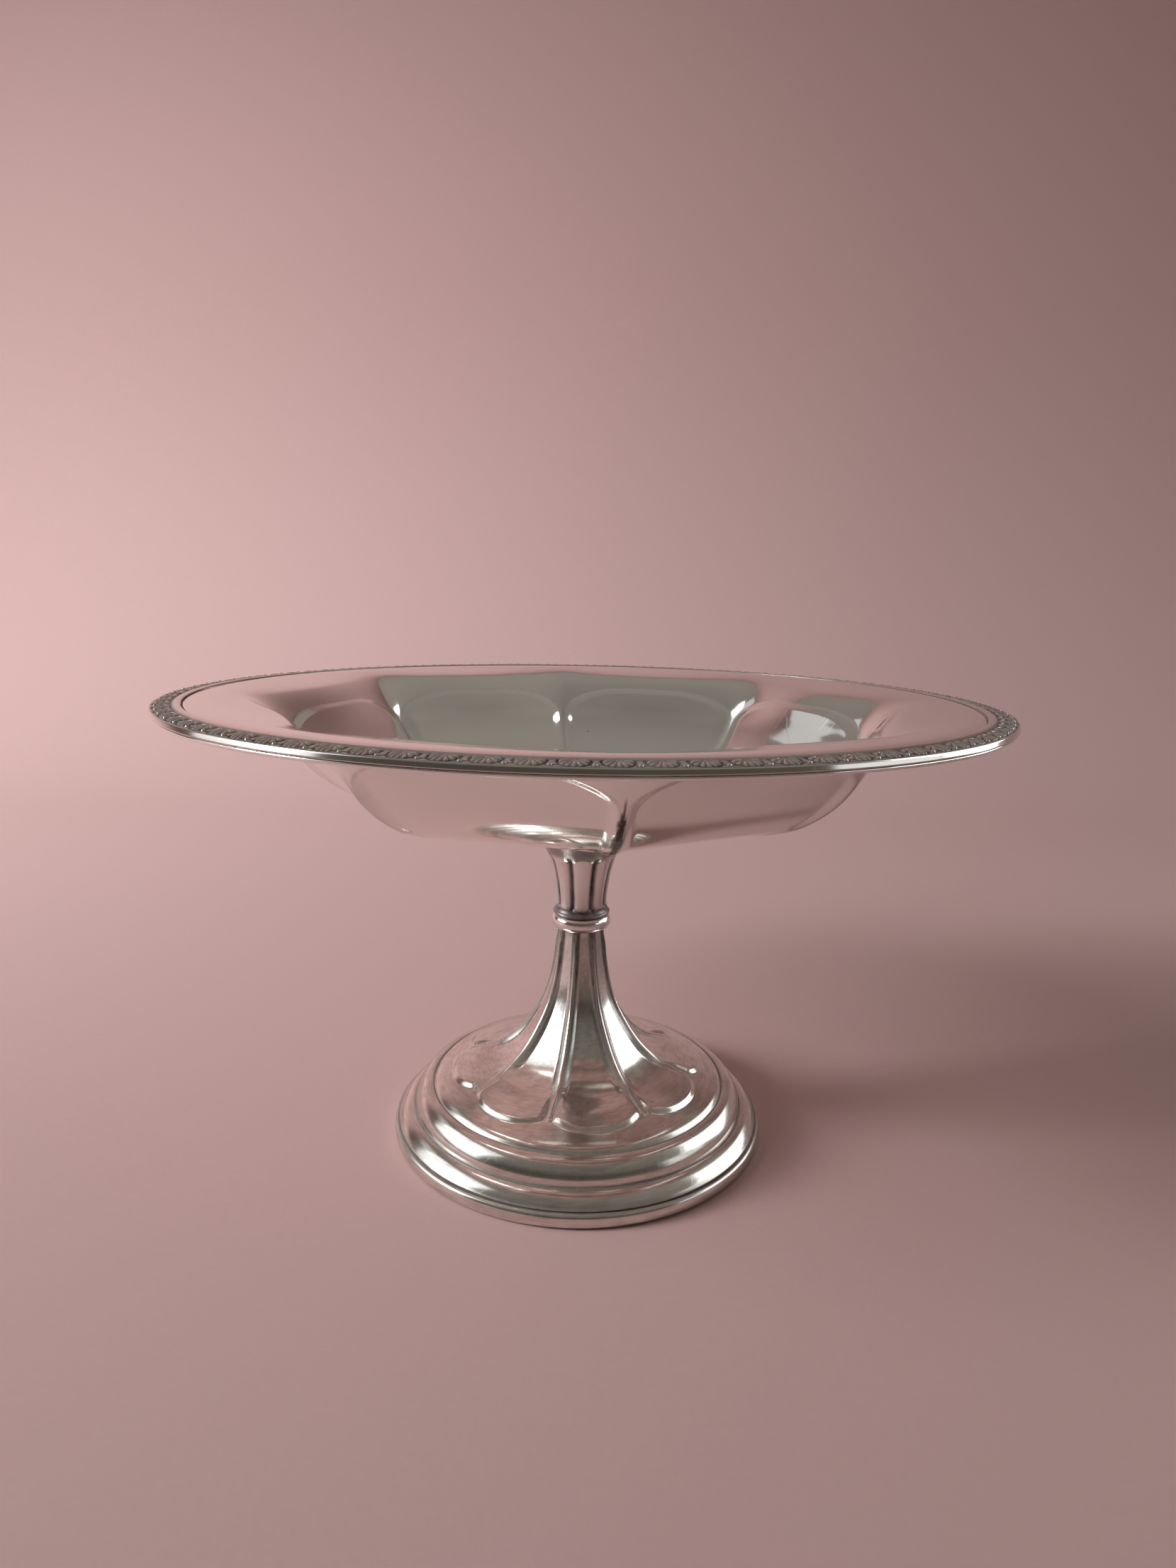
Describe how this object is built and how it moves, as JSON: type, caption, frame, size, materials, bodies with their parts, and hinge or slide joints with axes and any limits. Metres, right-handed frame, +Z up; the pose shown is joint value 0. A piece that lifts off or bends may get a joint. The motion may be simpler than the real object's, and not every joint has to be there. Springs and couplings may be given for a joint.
{
  "type": "footed bowl",
  "caption": "Round panelled silver bowl with a wide flat rim and ornamental border, screwed onto a lobed calyx and a weighted trumpet foot for serving fruit or sweets.",
  "frame": {"origin": "centre of the felt's resting face, on the surface that the foot stands on", "axes": "+Z up along the axis of the stem; -Y faces the camera of the picture"},
  "size_m": [0.254, 0.254, 0.147],
  "materials": {
    "polished_silver": "hand-polished silver, lightly tarnished in the recesses, fine scratches",
    "border_silver": "cast silver border, oxidised ground with rubbed highlights",
    "inner_silver": "plain unpolished silver plate",
    "thread_brass": "turned brass, dull",
    "washer_fibre": "pressed fibre washer",
    "rod_steel": "drawn steel rod",
    "loading_pitch": "set plaster and resin loading, rough",
    "felt_green": "pressed wool felt"
  },
  "bodies": {
    "pedestal": {"socket_bushing": "thread_brass", "calyx": "polished_silver", "knop_ring": "polished_silver", "foot_shell": "polished_silver", "stem_rod": "rod_steel", "foot_fill": "loading_pitch", "base_plate": "inner_silver", "felt_pad": "felt_green", "foot_ring": "polished_silver"},
    "washer": {"seat_washer": "washer_fibre"},
    "bowl": {"bowl": "polished_silver", "rim_border": "border_silver", "bowl_boss": "inner_silver", "bowl_stud": "thread_brass"}
  },
  "joints": [
    {"name": "bowl_rise", "type": "slide", "parent": "pedestal", "child": "washer", "axis": [0, 0, 1], "range_m": [0, 0.0051]},
    {"name": "bowl_turn", "type": "hinge", "parent": "washer", "child": "bowl", "pos_m": [0, 0, 0.105], "axis": [0, 0, 1], "range_deg": [0, 1440]}
  ],
  "couplings": [
    {"joint": "bowl_rise", "follows": "bowl_turn", "m_per_rad": 0.00019894}
  ]
}
